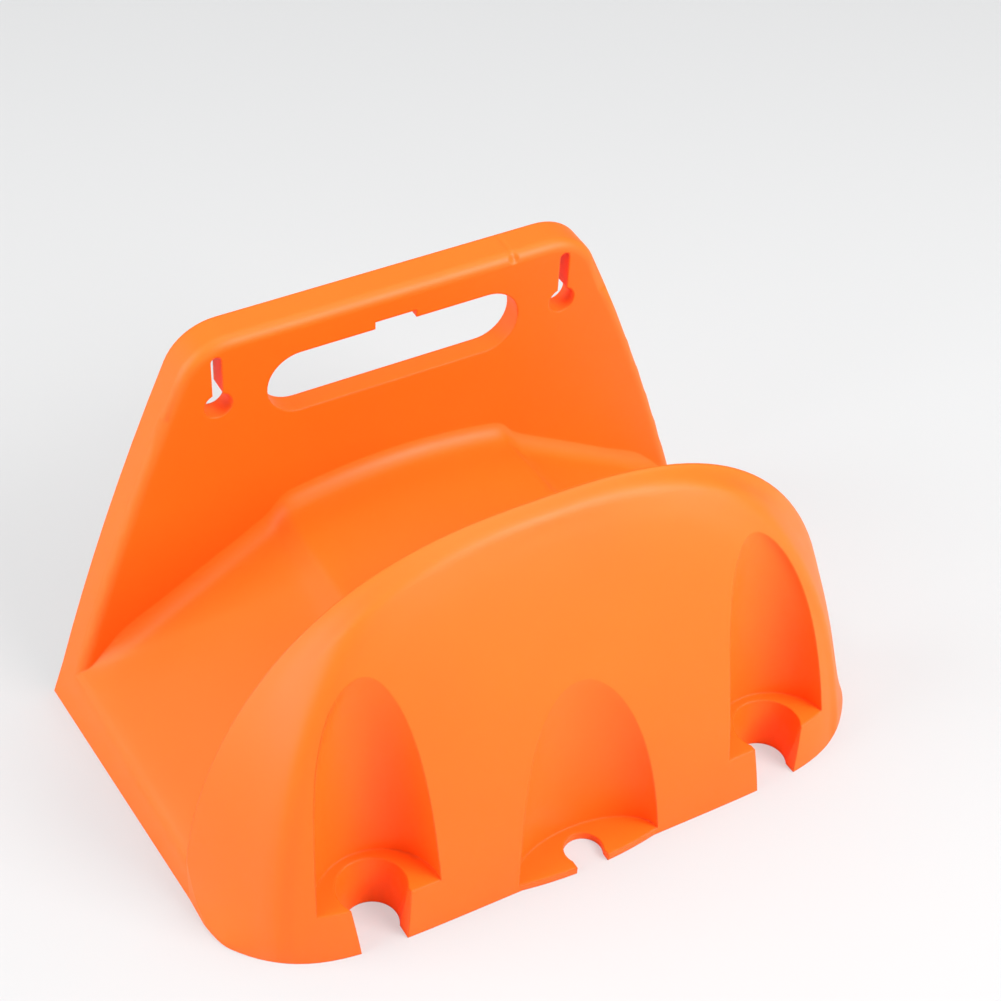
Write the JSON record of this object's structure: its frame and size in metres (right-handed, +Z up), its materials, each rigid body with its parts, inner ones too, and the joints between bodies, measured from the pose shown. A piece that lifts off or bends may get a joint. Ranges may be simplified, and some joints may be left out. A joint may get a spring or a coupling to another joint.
{
  "type": "hose hanger",
  "caption": "Wall hose hanger: arched saddle between a back plate with hand slot and keyholes and a domed hollow front part with clip recesses.",
  "frame": {"origin": "on the front face of the back plate, midway between the round openings of the two keyholes, where the screw heads bear", "axes": "+X to the right seen from the front, -Y out of the wall towards the front, +Z up; the wall is the plane y = 13.6 mm"},
  "size_m": [0.2606, 0.1639, 0.1497],
  "materials": {
    "orange_polypropylene": "satin moulded"
  },
  "bodies": {
    "root": {"hanger_body": "orange_polypropylene"}
  },
  "joints": []
}
